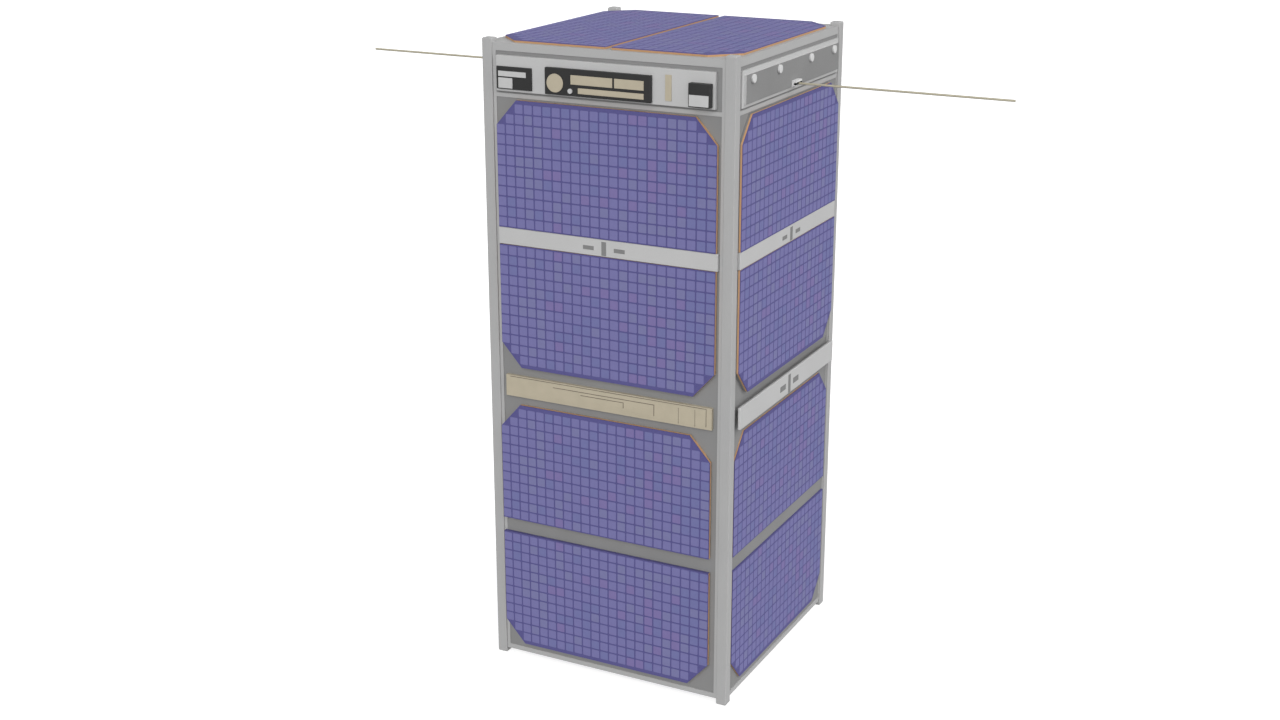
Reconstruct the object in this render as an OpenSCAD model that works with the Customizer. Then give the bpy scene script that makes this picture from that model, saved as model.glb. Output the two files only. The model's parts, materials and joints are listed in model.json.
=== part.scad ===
// Two-unit cube satellite: four rails, four framed sides with solar boards, an instrument
// bay under the top plate and two antenna rods that fold down along the left and right sides.
// Millimetres, +Z up, origin on the floor at the centre of the four rail feet.
// A side is drawn facing -Y and turned about Z: 0 front, 90 right, 180 back, 270 left.

/* [Bus] */
// Outside width and depth over the rail faces
bus_w = 100; // [90:1:125]
// Overall length of the rails
bus_len = 244.6; // [200:0.2:300]
// Width of a square corner rail
rail_w = 4; // [3:0.5:8]
// Chamfer on the rail ends
rail_chamfer = 0.3; // [0.1:0.1:1]
// How far the rails stand out past the bottom plate
foot_h = 2; // [1.5:0.1:6]
// How far the rails stand out past the top plate
head_h = 1.4; // [1.2:0.1:6]

/* [Side frames] */
// Depth of the side frames behind the rail faces
frame_recess = 0.6; // [0.3:0.1:0.8]
// Thickness of the side frames
frame_t = 1.4; // [1:0.1:2]
// Width of the front and back frames beside each rail
frame_side = 1.3; // [1:0.1:4]
// Width of the right and left frames beside each rail
flank_side = 0.6; // [0.5:0.1:4]
// Height of the frame's bottom member
frame_bottom = 2; // [1.5:0.1:6]
// Height of the frame's top member
frame_top = 2.9; // [1.5:0.1:6]
// Height of the crossbar under the instrument bay
crossbar_h = 1.5; // [1:0.1:4]
// Height of the instrument bay opening
bay_h = 15.1; // [13:0.1:20]
// Depth of the dark walls behind the rail faces
wall_recess = 0.9; // [0.8:0.1:1.2]
// Depth of the joint groove between the two units, in the right and left walls
groove_d = 0.5; // [0.3:0.1:0.6]
// Height of the joint groove
groove_h = 2.8; // [1:0.1:4]
// How far the joint groove runs down behind the lower side bar
groove_lap = 1.5; // [0:0.1:3]
// Thickness of the end plates
plate_t = 2; // [1:0.1:4]

/* [Solar boards] */
// How far the upper boards stand out past the rail faces
board_proud = 0.9; // [0.7:0.1:2]
// Gap between a front or back board and the frame beside it
board_side = 0.8; // [0.2:0.1:5]
// Gap between a right or left board and the frame beside it
flank_gap = 0.3; // [0.2:0.1:5]
// Width of a board's corner cut
corner_w = 8.3; // [2:0.1:15]
// Height of a board's corner cut
corner_h = 9.3; // [2:0.1:15]
// Thickness of the cell layer on a board
cell_t = 0.3; // [0.2:0.1:0.4]
// Gap between the frame's bottom member and the lowest board
gap_base = 2.3; // [0.5:0.1:4]
// Gap between the two lower boards
gap_low = 5.8; // [3:0.1:10]
// Gap between the lower and the upper pair
gap_mid = 15.2; // [14:0.1:20]
// Gap between the two upper boards
gap_high = 6.6; // [4:0.1:10]
// Gap between the highest board and the crossbar
gap_top = 0.6; // [0.3:0.1:4]
// Step of the upper front and back boards to the left, seen from outside
high_shift = 0.2; // [0:0.1:1]
// Step of the lower front and back boards to the left, seen from outside
low_shift = 1.4; // [0:0.1:1.5]
// How much less the lower right and left boards stand out
low_inset = 1; // [0:0.1:1]
// Inset of the pad on the back of a front or back board
pad_inset = 2; // [1.6:0.1:6]

/* [End boards] */
// Distance of the end boards' long edges from the side faces
end_side = 2.6; // [2:0.1:12]
// Distance of the end boards' short edges from the front and back faces
end_front = 2.8; // [1:0.1:12]
// Distance of an end board's corner cut from the rail, along its edges
end_room = 6.7; // [1:0.1:15]
// Gap between the two boards on an end plate
end_gap = 2.4; // [0.5:0.1:4]
// Thickness of an end board with its cells
end_t = 1; // [0.6:0.1:1.1]

/* [Bars] */
// How far the upper bars stand out past the rail faces
upper_proud = 0.7; // [0.2:0.1:2]
// Clearance between an upper bar and the boards above and below it
bar_clear = 0.15; // [0.05:0.05:0.5]
// How far the lower side bars stand out past the rail faces
lower_proud = 1.9; // [1:0.1:4]
// Thickness of a lower side bar
lower_t = 1; // [0.8:0.1:2]
// Width of a foot under a lower side bar
lower_foot = 6; // [3:0.5:12]
// Distance of a foot from the end of a lower side bar
foot_inset = 4; // [0.5:0.5:12]
// Height of a lower side bar
lower_h = 8.3; // [5:0.1:10]
// Height of a service strip
strip_h = 8.3; // [5:0.1:10]
// Gap between a lower bar or a service strip and the board below it
strip_base = 3.3; // [1:0.1:4]
// Gap between a service strip and the frame beside it
strip_side = 1.8; // [0.2:0.1:8]
// Gap between a lower side bar's end and the rail beside it
lower_side = 0.6; // [0.5:0.1:8]
// How far the service strips stand out past the rail faces
strip_proud = 0.9; // [0.2:0.1:2]

/* [Instrument bay] */
// Gap between a bay plate and the frame beside it
bay_side = 1.4; // [0.3:0.1:3]
// Offset of the bay plates to the left, seen from outside
bay_shift = 0.5; // [0:0.1:0.7]
// Gap between a bay plate and the crossbar
bay_base = 0.9; // [0.3:0.1:1.5]
// Gap between a bay plate and the frame's top member
bay_head = 1.4; // [0.3:0.1:2]
// How far the bay plates stand out past the rail faces
bay_proud = 0.9; // [0.3:0.1:1.5]
// Width of the left instrument box
left_box_w = 14.4; // [8:0.1:16]
// Height of the left instrument box
left_box_h = 8.1; // [6.8:0.1:8.5]
// Depth of the left instrument box
left_box_depth = 0.8; // [0.5:0.1:3]
// Gap between the left box and the plate's left edge
left_box_side = 0.6; // [0:0.1:3]
// Width of the middle instrument box
middle_box_w = 41.8; // [34:0.1:44]
// Height of the middle instrument box
middle_box_h = 9.5; // [8.8:0.1:10]
// Depth of the middle instrument box
middle_box_depth = 1.6; // [0.5:0.1:3]
// Sideways offset of the middle box from the plate's centre
middle_box_shift = -1.4; // [-2.5:0.1:1]
// Width of the right instrument box
right_box_w = 8.1; // [4:0.1:9]
// Height of the right instrument box
right_box_h = 8.2; // [5:0.1:8.5]
// Depth of the right instrument box
right_box_depth = 2.5; // [0.5:0.1:3]
// Gap between the right box and the plate's right edge
right_box_side = 0.9; // [0:0.1:3]
// Gap between the left box and the plate's lower edge
left_box_base = 0.9; // [0:0.1:1]
// Gap between the right box and the plate's lower edge
right_box_base = 0.7; // [0:0.1:1]
// Gap between the middle box and the plate's lower edge
middle_box_base = 0.6; // [0:0.1:0.7]

/* [Windows and covers] */
// Thickness of the windows and covers
insert_t = 0.3; // [0.2:0.1:0.6]
// Gap between a cover and the lower edge of its box
cover_edge = 0.4; // [0.2:0.1:0.8]
// Gap between the left box's covers and the box's left edge
cover_side = 0.9; // [0.2:0.1:1.2]
// Gap between the left box's two covers
cover_split = 0.5; // [0.2:0.1:0.8]
// Gap between the round sensor and the edges of the middle box
sensor_edge = 0.9; // [0.2:0.1:1.2]
// Radius of the round sensor
sensor_r = 3.3; // [2:0.1:3.6]
// Gap between the sensor and the knob
knob_gap = 2; // [0.3:0.1:2.6]
// Radius of the knob
knob_r = 0.9; // [0.5:0.1:1.2]
// Gap between the sensor and the long windows
window_gap = 3.1; // [0.5:0.1:4]
// Gap between the long windows and the box's right edge
window_side = 2.5; // [0.5:0.1:4]
// Gap between the lower window and the box's lower edge
window_base = 1.1; // [0.5:0.1:1.2]
// Height of the lower window
low_window_h = 2; // [1:0.1:2.2]
// How much later the lower window begins than the upper ones
low_window_indent = 2.9; // [2.5:0.1:8]
// Gap between the rows of windows
row_gap = 1.1; // [0.3:0.1:1.2]
// Height of the two upper windows
window_h = 3.3; // [2:0.1:3.5]
// Width of the left upper window
window_w = 16.5; // [5:0.1:20]
// Gap between the two upper windows
window_split = 0.8; // [0.3:0.1:2]
// Gap between the middle box and the beige strip beside it
label_gap = 5; // [0.5:0.1:5.5]
// Width of the beige strip
label_w = 2.4; // [1:0.1:3]
// Height of the beige strip
label_h = 9; // [4:0.1:9.4]
// Gap between the beige strip and the plate's lower edge
label_base = 1.7; // [0:0.1:3]
// Width of the left box's upper cover
long_cover_w = 11.4; // [3:0.1:12.6]
// Height of the left box's upper cover
long_cover_h = 1.9; // [1:0.1:2.2]
// Width of the left box's lower cover
square_cover_w = 5.8; // [3:0.1:12.6]
// Height of the left box's lower cover
square_cover_h = 3.7; // [2:0.1:3.8]
// Height of the right box's cover
right_cover_h = 3.9; // [2:0.1:4.5]

/* [Antenna trays] */
// Gap between a tray and the frame beside it
tray_side = 0.6; // [0.2:0.1:5]
// Rim of a tray below its cover
tray_rim = 1.2; // [0.6:0.1:2]
// Rim of a tray above its cover
tray_head = 1.5; // [0.6:0.1:2]
// Rim of a tray at the ends of its cover
tray_end = 1.5; // [0.6:0.1:4]
// How far a tray's rim stands out past the rail faces
tray_proud = 0.1; // [0:0.1:0.5]
// How far a tray's cover stands out past the rail faces
cover_proud = 0.9; // [0.6:0.1:1.5]
// Thickness of the dark cover sheet
cover_t = 0.3; // [0.2:0.1:0.4]
// Radius of a cover button
button_r = 1.5; // [1:0.1:2]
// Height of a cover button
button_t = 0.8; // [0.2:0.1:1]
// Distance of an outer button's centre from the cover's end
button_end = 5.5; // [2.5:0.1:8]
// Distance of a button's centre from the cover's upper edge
button_drop = 1.8; // [1.6:0.1:4]
// Distance between the two buttons of a pair
button_pitch = 23; // [10:0.1:26]

/* [Antennas] */
// Length of an antenna rod from its pivot
rod_len = 80; // [40:1:100]
// Radius of an antenna rod
rod_r = 0.4; // [0.3:0.05:0.5]
// Height of the pivot above the cover's lower edge
pivot_h = 1.1; // [0.9:0.1:4]
// Distance of the pivot outside the cover
pivot_gap = 1.1; // [1.1:0.1:3]
// Radius of the hinge barrel
barrel_r = 0.5; // [0.4:0.05:0.6]
// Length of the hinge barrel
barrel_len = 4.2; // [3:0.1:10]
// Radius of the hinge pin
pin_r = 0.3; // [0.2:0.05:0.35]
// Running clearance of the hinge pin
pin_clear = 0.05; // [0.02:0.01:0.1]
// Thickness of a hinge ear
ear_t = 0.6; // [0.5:0.1:2]
// Clearance between the barrel and the parts around it
barrel_clear = 0.1; // [0.05:0.05:0.3]
// Thickness of the hinge's back plate
hinge_back = 0.3; // [0.2:0.1:0.4]
// Thickness of the hinge's lip above the barrel
hinge_lip = 0.7; // [0.3:0.1:2]
// Gap between the hinge and the cover's lower edge
hinge_base = 0.1; // [0:0.1:0.3]

/* [Avionics] */
// Clearance between the avionics stack and the side frames
stack_side = 7; // [2:1:20]
// Clearance between the avionics stack and the top plate
stack_head = 46; // [10:1:80]

/* [Hidden] */
SIDES = ["front", "right", "back", "left"];
CORNERS = ["front_left", "front_right", "back_right", "back_left"];
$fn = 48;
// A small overlap that joins two sheets of one piece, and how far a cut runs past its piece
eps = 0.01;
cut = 1;
metal = "#A9A9A9";
sheet_metal = "#B0B0B0";
bright_metal = "#BBBBBB";
dark_metal = "#868686";
board_edge = "#B8895F";
cell_blue = "#7370A4";
black = "#373737";
beige = "#B3AA99";

// Bus
half = bus_w / 2;
rail_in = half - rail_w;
body_top = bus_len - head_h;
window_z0 = foot_h + frame_bottom;
bay_z1 = body_top - frame_top;
bay_z0 = bay_z1 - bay_h;
window_z1 = bay_z0 - crossbar_h;
frame_back = frame_recess + frame_t;
plate_half = half - frame_back;

// Side boards: numbered from the bottom, in two pairs
board_gaps = gap_base + gap_low + gap_mid + gap_high + gap_top;
board_h = (window_z1 - window_z0 - board_gaps) / 4;
board_z = [
    window_z0 + gap_base,
    window_z0 + gap_base + board_h + gap_low,
    window_z0 + gap_base + 2 * board_h + gap_low + gap_mid,
    window_z0 + gap_base + 3 * board_h + gap_low + gap_mid + gap_high];
strip_z = board_z[1] + board_h + strip_base;
strip_w = 2 * (window_reach(0) - strip_side);
lower_w = 2 * (rail_in - lower_side);
groove_z = strip_z + lower_h - groove_lap;

// Bay plates and trays
bay_plate_z = bay_z0 + bay_base;
bay_plate_h = bay_h - bay_base - bay_head;
bay_plate_w = 2 * (window_reach(0) - bay_side);
tray_w = 2 * (window_reach(1) - tray_side);
cover_z = bay_plate_z + tray_rim;
cover_w = tray_w - 2 * tray_end;
cover_h = bay_plate_h - tray_rim - tray_head;
pivot_z = cover_z + pivot_h;
pivot_x = half + cover_proud + pivot_gap;
lip_clear = barrel_r + barrel_clear;
hinge_w = barrel_len + 2 * (barrel_clear + ear_t);
stack_w = 2 * (plate_half - stack_side);
stack_h = body_top - foot_h - 2 * plate_t - stack_head;

// Lower left corners of the instrument boxes, from the plate's middle and lower edge
left_box_at = [left_box_side - bay_plate_w / 2, left_box_base];
middle_box_at = [middle_box_shift - middle_box_w / 2, middle_box_base];
right_box_at = [bay_plate_w / 2 - right_box_side - right_box_w, right_box_base];

// The front and back differ from the right and left sides in the width of the opening in
// the frame and of the boards. Their boards step sideways, while the two lower rows on the
// right and left step in and lie on the wall without a pad.
function is_end(side) = side % 2 == 0;
function is_low(n) = n < 2;
function window_reach(side) = rail_in - (is_end(side) ? frame_side : flank_side);
function board_w(side) = 2 * (window_reach(side) - (is_end(side) ? board_side : flank_gap));
function side_shift(side, n) = is_end(side) ? (is_low(n) ? -low_shift : -high_shift) : 0;
function side_proud(side, n) = !is_end(side) && is_low(n) ? board_proud - low_inset : board_proud;

// Turns a piece that is drawn facing -Y to one of the four sides
module on_side(side) {
    rotate([0, 0, 90 * side]) children();
}

// A sheet on the front side: from depth d0 to d1 behind the rail faces
module slab(x, z, d0, d1) {
    translate([x[0], -half + d0, z[0]]) cube([x[1] - x[0], d1 - d0, z[1] - z[0]]);
}

module cut_corners(w, h, cx, cz, low, high) {
    bottom = low ? [[cx, 0], [w - cx, 0], [w, cz]] : [[0, 0], [w, 0]];
    top = high ? [[w, h - cz], [w - cx, h], [cx, h], [0, h - cz]] : [[w, h], [0, h]];
    start = low ? [[0, cz]] : [];
    polygon(concat(bottom, top, start));
}

// Square bar along Z with its four end edges chamfered, seen from one side
module rail_outline() {
    c = rail_chamfer;
    polygon([[c, 0], [rail_w - c, 0], [rail_w, c], [rail_w, bus_len - c],
        [rail_w - c, bus_len], [c, bus_len], [0, bus_len - c], [0, c]]);
}

module rail() {
    color(metal) intersection() {
        translate([-half, rail_w - half, 0]) rotate([90, 0, 0]) linear_extrude(rail_w) rail_outline();
        translate([-half, -half, 0]) rotate([90, 0, 90]) linear_extrude(rail_w) rail_outline();
    }
}

module side_frame(side) {
    w = window_reach(side);
    color(sheet_metal) difference() {
        slab([-rail_in, rail_in], [foot_h, body_top], frame_recess, frame_back);
        slab([-w, w], [window_z0, window_z1], frame_recess - cut, frame_back + cut);
        slab([-w, w], [bay_z0, bay_z1], frame_recess - cut, frame_back + cut);
    }
}

// The right and left walls have the joint groove above the lower side bar
module side_wall(side) {
    w = window_reach(side);
    color(dark_metal) {
        difference() {
            slab([-w, w], [window_z0, window_z1], wall_recess, frame_back);
            if (!is_end(side))
                slab([-w, w], [groove_z, groove_z + groove_h], wall_recess - cut, wall_recess + groove_d);
        }
        slab([-w, w], [bay_z0, bay_z1], wall_recess, frame_back);
    }
}

module end_plate(z) {
    color(sheet_metal) difference() {
        translate([-plate_half, -plate_half, z]) cube([2 * plate_half, 2 * plate_half, plate_t]);
        for (sx = [-1, 1], sy = [-1, 1])
            translate([sx * half - (sx > 0 ? rail_w : 0), sy * half - (sy > 0 ? rail_w : 0), z - cut])
                cube([rail_w, rail_w, plate_t + 2 * cut]);
    }
}

module avionics_stack() {
    color("#5A6A5A") translate([-stack_w / 2, -stack_w / 2, foot_h + plate_t])
        cube([stack_w, stack_w, stack_h]);
}

// Outline of side board n, drawn upright from depth d0 to d1
module board_sheet(side, n, d0, d1, inset) {
    w = board_w(side);
    translate([side_shift(side, n) - w / 2, -half + d1, board_z[n]])
        rotate([90, 0, 0]) linear_extrude(d1 - d0)
            intersection() {
                cut_corners(w, board_h, corner_w, corner_h, n % 2 == 0, n % 2 == 1);
                translate([inset, inset]) square([w - 2 * inset, board_h - 2 * inset]);
            }
}

module solar_board(side, n) {
    front = cell_t - side_proud(side, n);
    color(board_edge)
        if (is_end(side)) {
            board_sheet(side, n, front, frame_recess, 0);
            board_sheet(side, n, frame_recess - eps, wall_recess, pad_inset);
        } else {
            board_sheet(side, n, front, wall_recess, 0);
        }
}

module solar_cells(side) {
    color(cell_blue) for (n = [0:3])
        board_sheet(side, n, -side_proud(side, n), cell_t - side_proud(side, n), 0);
}

// One of the two boards on an end plate: side is -1 for left, 1 for right
module end_outline(side) {
    w = half - end_side - end_gap / 2;
    l = bus_w - 2 * end_front;
    x0 = end_gap / 2;
    end_corner = 2 * rail_w - end_side - end_front + end_room;
    mirror([side < 0 ? 1 : 0, 0])
        polygon([[x0, -l / 2], [x0 + w - end_corner, -l / 2], [x0 + w, end_corner - l / 2],
            [x0 + w, l / 2 - end_corner], [x0 + w - end_corner, l / 2], [x0, l / 2]]);
}

module end_board(side, top) {
    color(board_edge)
        translate([0, 0, top ? body_top : foot_h - end_t + cell_t])
            linear_extrude(end_t - cell_t) end_outline(side);
}

module end_cells(top) {
    color(cell_blue) for (side = [-1, 1])
        translate([0, 0, top ? body_top + end_t - cell_t : foot_h - end_t])
            linear_extrude(cell_t) end_outline(side);
}

module upper_bars() {
    color(bright_metal) for (side = [0:3]) on_side(side)
        slab([-window_reach(side) + flank_gap, window_reach(side) - flank_gap],
            [board_z[2] + board_h + bar_clear, board_z[3] - bar_clear], -upper_proud, wall_recess);
}

// A plate on two feet, which end below the joint groove
module lower_bars() {
    w = lower_w / 2;
    foot_x = w - foot_inset;
    color(bright_metal) for (side = [1, 3]) on_side(side) {
        slab([-w, w], [strip_z, strip_z + lower_h], -lower_proud, lower_t - lower_proud);
        for (s = [-1, 1])
            slab([min(s * foot_x, s * (foot_x - lower_foot)), max(s * foot_x, s * (foot_x - lower_foot))],
                [strip_z, strip_z + lower_h - groove_lap], lower_t - lower_proud - eps, wall_recess);
    }
}

module service_strips() {
    color(beige) for (side = [0, 2]) on_side(side)
        slab([-strip_w / 2, strip_w / 2], [strip_z, strip_z + strip_h], -strip_proud, wall_recess);
}

module bay_plate() {
    color(bright_metal)
        slab([-bay_plate_w / 2 - bay_shift, bay_plate_w / 2 - bay_shift],
            [bay_plate_z, bay_plate_z + bay_plate_h], -bay_proud, wall_recess);
}

// A block on the bay's front plate: its lower left corner from the plate's middle and lower
// edge, its width and height, the depth that it stands on and its own thickness
module on_bay(at, w, h, base, t) {
    translate([-bay_shift, 0, bay_plate_z])
        slab([at[0], at[0] + w], [at[1], at[1] + h], -bay_proud - base - t, -bay_proud - base);
}

// A round piece on the middle box, with its centre from the box's lower left corner
module on_middle_box(at, r, t) {
    translate([middle_box_at[0] + at[0] - bay_shift, -half - bay_proud - middle_box_depth,
            bay_plate_z + middle_box_at[1] + at[1]])
        rotate([90, 0, 0]) cylinder(r = r, h = t);
}

module instrument_box(at, w, h, depth) {
    color(black) on_bay(at, w, h, 0, depth);
}

// The round sensor, the long windows in two rows and the beige strip beside the box
module instrument_windows() {
    x0 = sensor_edge + 2 * sensor_r + window_gap;
    x1 = middle_box_w - window_side;
    split = x0 + window_w + window_split;
    high = window_base + low_window_h + row_gap;
    depth = middle_box_depth;
    color(beige) {
        on_middle_box([sensor_edge + sensor_r, sensor_edge + sensor_r], sensor_r, insert_t);
        on_bay(middle_box_at + [x0, high], window_w, window_h, depth, insert_t);
        on_bay(middle_box_at + [split, high], x1 - split, window_h, depth, insert_t);
        on_bay(middle_box_at + [x0 + low_window_indent, window_base],
            x1 - x0 - low_window_indent, low_window_h, depth, insert_t);
        on_bay([middle_box_at[0] + middle_box_w + label_gap, label_base], label_w, label_h, 0, insert_t);
    }
}

// Light covers on the outer boxes and the small knob on the middle one
module instrument_covers() {
    left = left_box_at + [cover_side, cover_edge];
    knob_x = sensor_edge + 2 * sensor_r + knob_gap + knob_r;
    color("#D0D0D0") {
        on_bay(left, square_cover_w, square_cover_h, left_box_depth, insert_t);
        on_bay(left + [0, square_cover_h + cover_split], long_cover_w, long_cover_h,
            left_box_depth, insert_t);
        on_bay(right_box_at + [cover_edge, cover_edge], right_box_w - 2 * cover_edge,
            right_cover_h, right_box_depth, insert_t);
        on_middle_box([knob_x, sensor_edge + knob_r], knob_r, 2 * insert_t);
    }
}

// Tray: a rim sheet with a raised deck under the cover
module antenna_tray() {
    color(bright_metal) {
        bay = [bay_plate_z, bay_plate_z + bay_plate_h];
        slab([-tray_w / 2, tray_w / 2], bay, -tray_proud, wall_recess);
        slab([-cover_w / 2, cover_w / 2], [cover_z, cover_z + cover_h],
            cover_t - cover_proud, -tray_proud + eps);
    }
}

module tray_cover() {
    color(dark_metal)
        slab([-cover_w / 2, cover_w / 2], [cover_z, cover_z + cover_h],
            -cover_proud, cover_t - cover_proud);
}

module tray_buttons() {
    outer = cover_w / 2 - button_end;
    color("#D8D8D8")
        for (side = [1, 3], s = [-1, 1], x = [outer - button_pitch, outer]) on_side(side)
            translate([s * x, -half - cover_proud, cover_z + cover_h - button_drop])
                rotate([90, 0, 0]) cylinder(r = button_r, h = button_t);
}

// Two ears on a back plate carry the pin, and a lip covers the barrel from above
module antenna_hinge() {
    face = -half - cover_proud;
    reach = pivot_gap + lip_clear;
    base = cover_z + hinge_base;
    color("white") difference() {
        union() {
            translate([-hinge_w / 2, face - hinge_back, base])
                cube([hinge_w, hinge_back, pivot_z + lip_clear + hinge_lip - base]);
            translate([-hinge_w / 2, face - reach, pivot_z + lip_clear])
                cube([hinge_w, reach, hinge_lip]);
            for (s = [-1, 1])
                translate([s * (hinge_w - ear_t) / 2 - ear_t / 2, face - reach, pivot_z - lip_clear])
                    cube([ear_t, reach, 2 * lip_clear + eps]);
        }
        translate([-hinge_w, -pivot_x, pivot_z]) rotate([0, 90, 0])
            cylinder(r = pin_r + pin_clear, h = 2 * hinge_w);
    }
}

// Deployed rod, straight out from the barrel, with its pin through both ears
module antenna_rod() {
    color(beige) translate([0, -pivot_x, pivot_z]) {
        rotate([90, 0, 0]) cylinder(r = rod_r, h = rod_len);
        rotate([0, 90, 0]) cylinder(r = barrel_r, h = barrel_len, center = true);
        rotate([0, 90, 0]) cylinder(r = pin_r, h = hinge_w, center = true);
    }
}

for (k = [0:3]) {
    on_side(k) rail();
    on_side(k) side_frame(k);
    on_side(k) side_wall(k);
    on_side(k) solar_cells(k);
}
for (k = [0:3], n = [0:3])
    on_side(k) solar_board(k, n);
end_plate(body_top - plate_t);  // top_plate
end_plate(foot_h);  // bottom_plate
avionics_stack();
end_board(-1, true);  // solar_board_top_left
end_board(1, true);  // solar_board_top_right
end_board(-1, false);  // solar_board_bottom_left
end_board(1, false);  // solar_board_bottom_right
end_cells(true);  // solar_cells_top
end_cells(false);  // solar_cells_bottom
upper_bars();
lower_bars();
service_strips();
bay_plate();  // bay_plate_front
on_side(2) bay_plate();  // bay_plate_back
instrument_box(left_box_at, left_box_w, left_box_h, left_box_depth);  // instrument_box_left
instrument_box(middle_box_at, middle_box_w, middle_box_h, middle_box_depth);  // instrument_box_middle
instrument_box(right_box_at, right_box_w, right_box_h, right_box_depth);  // instrument_box_right
instrument_windows();
instrument_covers();
tray_buttons();
on_side(1) antenna_tray();  // antenna_tray_right
on_side(3) antenna_tray();  // antenna_tray_left
on_side(1) tray_cover();  // tray_cover_right
on_side(3) tray_cover();  // tray_cover_left
on_side(1) antenna_hinge();  // antenna_hinge_right
on_side(3) antenna_hinge();  // antenna_hinge_left
on_side(1) antenna_rod();  // antenna_rod_right
on_side(3) antenna_rod();  // antenna_rod_left
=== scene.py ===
"""Looks of a two-unit cube satellite: finishes, solar cells, bars with dark slot plates and the studio
stage.
"""

import json
import math
import random

import bmesh
import bpy
from bpy.props import FloatProperty, FloatVectorProperty, IntProperty, PointerProperty
from mathutils import Matrix, Vector
from mathutils.geometry import convex_hull_2d


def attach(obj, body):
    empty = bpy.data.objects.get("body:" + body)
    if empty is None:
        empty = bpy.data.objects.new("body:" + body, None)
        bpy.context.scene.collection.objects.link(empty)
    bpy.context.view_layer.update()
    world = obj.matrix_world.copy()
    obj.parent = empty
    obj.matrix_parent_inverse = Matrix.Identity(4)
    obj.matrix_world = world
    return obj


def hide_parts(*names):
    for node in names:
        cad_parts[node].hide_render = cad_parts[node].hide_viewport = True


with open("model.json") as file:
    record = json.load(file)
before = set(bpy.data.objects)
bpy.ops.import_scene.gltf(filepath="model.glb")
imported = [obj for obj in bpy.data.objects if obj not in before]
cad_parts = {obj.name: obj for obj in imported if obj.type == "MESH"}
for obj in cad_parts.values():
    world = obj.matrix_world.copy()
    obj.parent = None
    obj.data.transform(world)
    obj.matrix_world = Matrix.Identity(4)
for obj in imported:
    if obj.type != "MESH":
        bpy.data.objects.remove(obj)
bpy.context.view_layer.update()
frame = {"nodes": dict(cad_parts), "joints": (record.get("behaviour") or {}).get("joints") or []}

bl_info = {
    "name": "Cube Satellite",
    "version": (1, 0, 0),
    "blender": (4, 5, 0),
    "location": "View3D > Sidebar > Satellite",
    "description": "Dresses the satellite's frame with finishes, solar cells and small parts",
    "category": "Object",
}

MM = 0.001
# Two corners or depths that are nearer than this count as the same
NEAR = 0.01 * MM
# Edges that turn by more than ROUND_FROM are rounded, and those over SMOOTH_TO shade as sharp
ROUND_FROM = math.radians(30)
SMOOTH_TO = math.radians(50)
# Corners nearer than WELD become one, and so do faces that turn by less than FLAT_TO
WELD = 0.002 * MM
FLAT_TO = math.radians(1)
# Depths in metres that no board reaches: a skin from NO_SKIN or a spacer up to NO_SPACER isn't there
NO_SKIN = 1
NO_SPACER = 0
# A surface faces along an axis when its normal has more than this share along it
FACING = 0.5
# Columns are counted this share of one short, so that tiles come out wide rather than narrow
COLUMN_SLACK = 0.1
# More rows and columns of tiles than any board holds
MOST_TILES = 30
# Share of the tiles that copy the tone of the one below, and again of those that copy the one beside
COPIES = 0.16

BUS = "bus"
SIDES = ("front", "right", "back", "left")
ENDS = ("top", "bottom")
BOARDS = {side: [f"solar_board_{side}_{n}" for n in (1, 2, 3, 4)] for side in SIDES}
BOARDS.update({end: [f"solar_board_{end}_{half}" for half in ("left", "right")] for end in ENDS})

# The columns of a matrix are its face's own directions: along it, up it, and out of it
FACES = {
    "front": Matrix(((1, 0, 0), (0, 0, -1), (0, 1, 0))),
    "right": Matrix(((0, 0, 1), (1, 0, 0), (0, 1, 0))),
    "back": Matrix(((-1, 0, 0), (0, 0, 1), (0, 1, 0))),
    "left": Matrix(((0, 0, -1), (-1, 0, 0), (0, 1, 0))),
    "top": Matrix(((1, 0, 0), (0, 1, 0), (0, 0, 1))),
    "bottom": Matrix(((1, 0, 0), (0, -1, 0), (0, 0, -1))),
}


def rgb(code):
    """Linear colour of a six-digit display colour."""
    parts = [int(code[i : i + 2], 16) / 255 for i in (0, 2, 4)]
    return tuple(c / 12.92 if c <= 0.04045 else ((c + 0.055) / 1.055) ** 2.4 for c in parts)


def length(label, about, default):
    """A size in millimetres, kept in metres."""
    return FloatProperty(
        name=label, description=about, default=default * MM, min=0, precision=5, unit="LENGTH"
    )


def offset(label, about, default):
    """A position in millimetres, kept in metres, which may be negative."""
    return FloatProperty(name=label, description=about, default=default * MM, precision=5, unit="LENGTH")


def colour(label, about, code):
    """A colour whose default is a six-digit display colour."""
    return FloatVectorProperty(
        name=label, description=about, default=rgb(code), size=3, min=0, max=1, subtype="COLOR"
    )


def angle(label, about, degrees):
    """An angle in degrees, kept in radians."""
    return FloatProperty(name=label, description=about, default=math.radians(degrees), subtype="ANGLE")


def strength(label, about, default):
    """The strength of a light."""
    return FloatProperty(name=label, description=about, default=default, min=0)


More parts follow.
